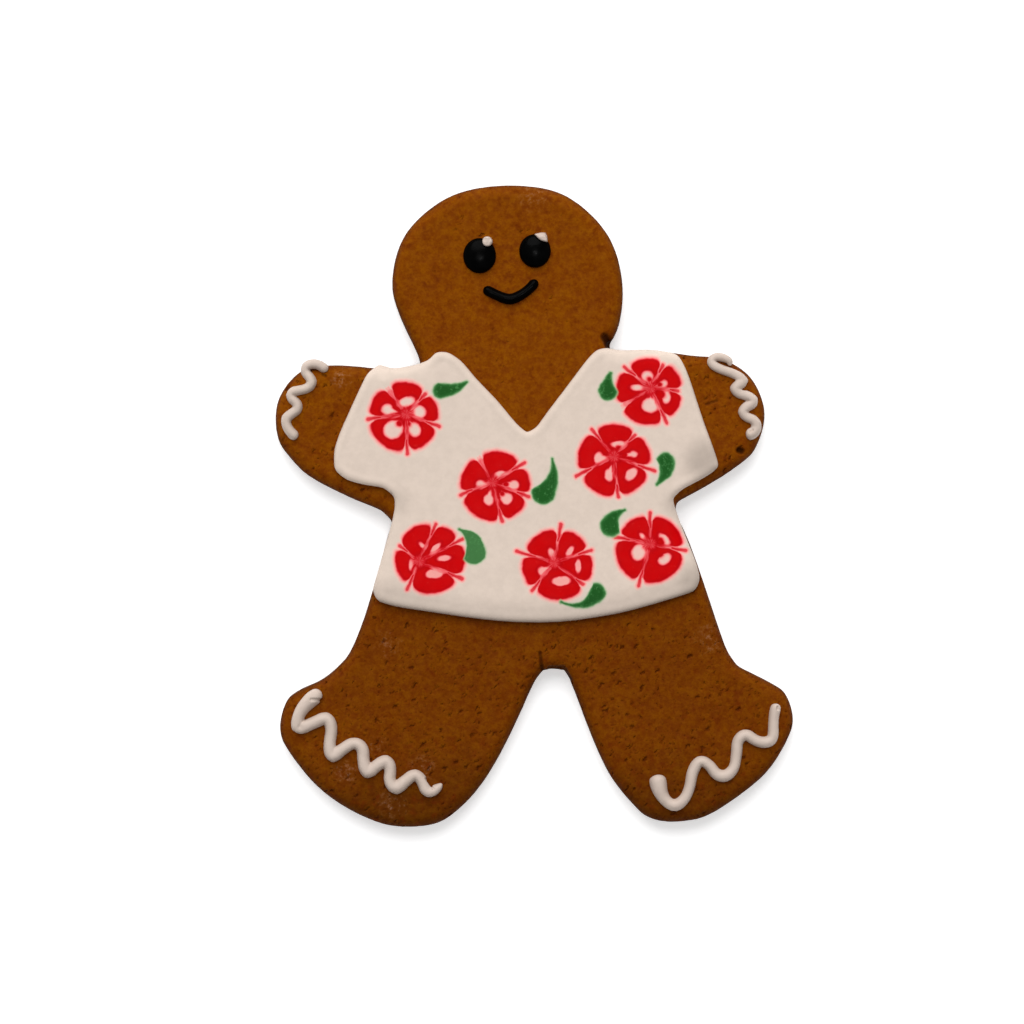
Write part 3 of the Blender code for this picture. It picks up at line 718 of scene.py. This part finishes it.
def leafInside(tree, place, leaf, drop):
    # millimetres inside a leaf, no more than its deepest green needs
    end, tip = Vector((*leaf["end"], 0)), Vector((*leaf["tip"], 0))
    shape = useGroup(tree, drop, place=vectorCalc(tree, "SUBTRACT", place, end), bend=leaf["bend"],
                     taper=leaf["taper"], line=(tip - end).normalized(), long=(tip - end).length,
                     radius=leaf["radius"])
    return calc(tree, "MINIMUM", shape["inside"], leaf.get("deepest", shirt["leafDeepest"]))


def shirtMaterial():
    material, tree, shader, place = newMaterial("marbledIcing")
    stroke, thread, drop = needleStroke(), strokeTail(), dropShape()
    flat = vectorCalc(tree, "MULTIPLY", place, (1, 1, 0))
    flat = wobbled(tree, flat, shirt["wobbleWaves"], 2.0, (shirt["wobbleReach"], shirt["wobbleReach"], 0))
    edge, inside = 99.0, -99.0
    for flower in flowers:
        reached = flowerEdge(tree, after(tree, flat, edge), flower, stroke, thread, drop)
        edge = calc(tree, "MINIMUM", edge, reached)
    for leaf in leaves:
        reached = leafInside(tree, after(tree, flat, inside), leaf, drop)
        inside = calc(tree, "MAXIMUM", inside, reached)
    colour = ramp(tree, edge, redStops)
    bright = ease(tree, noise(tree, place, 0.9, 3.0, 0.7), 0.60, 0.78, 0.0, 0.22)
    bright = times(tree, bright, ease(tree, edge, 0.0, -0.3))
    colour = blendColour(tree, bright, colour, paint(*shirt["brightRed"]))
    bright = ease(tree, noise(tree, place, 0.8, 3.0, 0.7), 0.52, 0.76, 0.0, 0.5)
    green = blendColour(tree, bright, ramp(tree, inside, greenStops), paint(*shirt["brightGreen"]))
    colour = blendColour(tree, ease(tree, inside, -0.7, 0.0), colour, green)
    hem = vectorCalc(tree, "DISTANCE", flat, shirt["hemMiddle"])
    shade = times(tree, ease(tree, hem, *shirt["hemShade"], 1.0, shirt["hemDarkest"]),
                  even(tree, place, 2, 0.965, 1.03, 4.0, 0.65))
    # each patch darkens the icing as painted shade
    for x, y, reach, dark in paintedIcingShades:
        smaller = calc(tree, "MULTIPLY_ADD", spot(tree, place, x, y, reach), -dark, 1.0)
        shade = times(tree, shade, smaller)
    feed(tree, shader.inputs["Base Color"], addShade(tree, colour, shade, shade, shade))
    feed(tree, shader.inputs["Roughness"], even(tree, place, 3, 0.38, 0.5))
    shader.inputs["Specular IOR Level"].default_value = 0.03
    addBump(tree, shader, times(tree, noise(tree, place, 0.8, 3.0, 0.6), 0.02))
    return material


def shirtHeight(tree, place):
    wave, lump = (around(tree, place, shirt[kind + "Size"], shirt[kind + "Height"], 1.0)
                  for kind in ("wave", "lump"))
    return calc(tree, "ADD", wave, lump)


def makeShirt():
    piece = copyOf("shirt_icing", "shirtIcing")
    lowerUnderside(piece, shirt["sink"], square=True)
    rounded(piece, 1)
    applied(piece, "REMESH", mode="VOXEL", voxel_size=shirt["voxel"])
    applied(piece, "SMOOTH", factor=0.5, iterations=shirt["smoothing"])
    applied(piece, "DISPLACE", strength=shirt["swell"], mid_level=0)
    addRelief(piece, shirtHeight)
    thinned(piece, shirt["triangles"])
    finished(piece, shirtMaterial(), "shirt_icing")


piping = {
    "voxel": 0.14 * mm,
    "smoothing": 24,
    "swell": 0.10 * mm,
    "sink": 0.6 * mm,
    "lumpSize": 2.2, "lumpHeight": 0.10,
    "whiteColour": (201, 184, 172),
    "whiteDrop": 6,  # how much darker the darkest white is
    "blackColour": (4, 4, 4), "deepBlackColour": (2, 2, 2),
}
glints = dict(piping, voxel=0.07 * mm, smoothing=12)

# dents in the piping: from x, y, to x, y, reach, depth
pipingDents = [
    (-51.9, -45.2, -49.4, -45.4, 0.6, 0.35),  # the fold at the start of the left foot's line
    (-25.2, -63.6, -23.4, -66.0, 0.3, 0.35),  # the last two strokes of that line meet
    (56.8, -47.0, 56.9, -47.4, 0.5, 0.7),  # the end of the right foot's line
    (50.3, 17.3, 50.8, 17.6, 0.5, 0.5),  # the end of the right hand's line
]


def whiteMaterial():
    material, tree, shader, place = newMaterial("whitePiping")
    white = piping["whiteColour"]
    darkest = [value - piping["whiteDrop"] for value in white]
    tone = even(tree, place, 3, 0.0, 1.0)
    feed(tree, shader.inputs["Base Color"], blendColour(tree, tone, paint(*white), paint(*darkest)))
    feed(tree, shader.inputs["Roughness"], even(tree, place, 2, 0.4, 0.52))
    shader.inputs["Specular IOR Level"].default_value = 0.1
    addBump(tree, shader, times(tree, noise(tree, place, 0.6, 3.0, 0.6), 0.02))
    return material


def blackMaterial():
    material, tree, shader, place = newMaterial("blackIcing")
    tone = even(tree, place, 2, 0.0, 1.0)
    black, deepBlack = (paint(*piping[name]) for name in ("blackColour", "deepBlackColour"))
    feed(tree, shader.inputs["Base Color"], blendColour(tree, tone, black, deepBlack))
    feed(tree, shader.inputs["Roughness"], even(tree, place, 1.5, 0.2, 0.3))
    shader.inputs["Specular IOR Level"].default_value = 0.02
    addBump(tree, shader, times(tree, noise(tree, place, 1.0), 0.01))
    return material


def pipedHeight(tree, place):
    return dented(tree, around(tree, place, piping["lumpSize"], piping["lumpHeight"]), place, pipingDents)


def makePiped(node, name, material, settings=piping):
    piece = copyOf(node, name)
    lowerUnderside(piece, settings["sink"])
    rounded(piece, 1)
    applied(piece, "REMESH", mode="VOXEL", voxel_size=settings["voxel"])
    applied(piece, "SMOOTH", factor=0.5, iterations=settings["smoothing"])
    applied(piece, "DISPLACE", strength=settings["swell"], mid_level=0)
    addRelief(piece, pipedHeight)
    finished(piece, material, node)


def makeStudio():
    x, y, z = studio["middle"]
    bpy.ops.object.camera_add(location=(x, y, z + studio["width"] * studio["lens"] / studio["sensor"]))
    camera = bpy.context.object
    camera.data.lens = studio["lens"]
    camera.data.sensor_width = studio["sensor"]
    bpy.context.scene.camera = camera
    bpy.ops.mesh.primitive_plane_add(size=studio["floorSize"], location=(0, 0, -studio["floorDrop"]))
    floor = bpy.context.object
    floor.name = "floor"
    material, tree, shader, place = newMaterial("paleFloor")
    tone = even(tree, place, 60, 0.0, 1.0)
    pale = studio["floorColour"]
    feed(tree, shader.inputs["Base Color"], blendColour(
        tree, tone, paint(*pale), paint(*(value - 1 for value in pale))))
    shader.inputs["Roughness"].default_value = 0.9
    shader.inputs["Specular IOR Level"].default_value = 0.1
    shader.inputs["Emission Color"].default_value = (1, 1, 1, 1)
    shader.inputs["Emission Strength"].default_value = studio["floorGlow"]
    floor.data.materials.append(material)
    for lamp in ("key", "front"):
        pitch, roll = (math.radians(turn) for turn in studio[lamp + "Tilt"])
        bpy.ops.object.light_add(type="SUN", rotation=(pitch, roll, 0))
        light = bpy.context.object
        light.name = lamp + "Light"
        light.data.energy = studio[lamp + "Power"]
        light.data.angle = math.radians(studio[lamp + "Softness"])
    world = bpy.data.worlds.new("softSky")
    world.use_nodes = True
    sky = world.node_tree.nodes["Background"]
    sky.inputs[0].default_value = (1, 1, 1, 1)
    sky.inputs[1].default_value = studio["skyPower"]
    bpy.context.scene.world = world
    bpy.context.scene.view_settings.view_transform = "Standard"
    print("studio ready")


makeStudio()
makeDough()
makeShirt()
white, black = whiteMaterial(), blackMaterial()
for side in ("left", "right"):
    makePiped("eye_" + side, "eye_" + side + "_icing", black)
    makePiped("eye_glint_" + side, "glint_" + side + "_icing", white, glints)
    makePiped("zigzag_hand_" + side, "hand_" + side + "_icing", white)
    makePiped("zigzag_foot_" + side, "foot_" + side + "_icing", white)
makePiped("smile", "smile_icing", black)
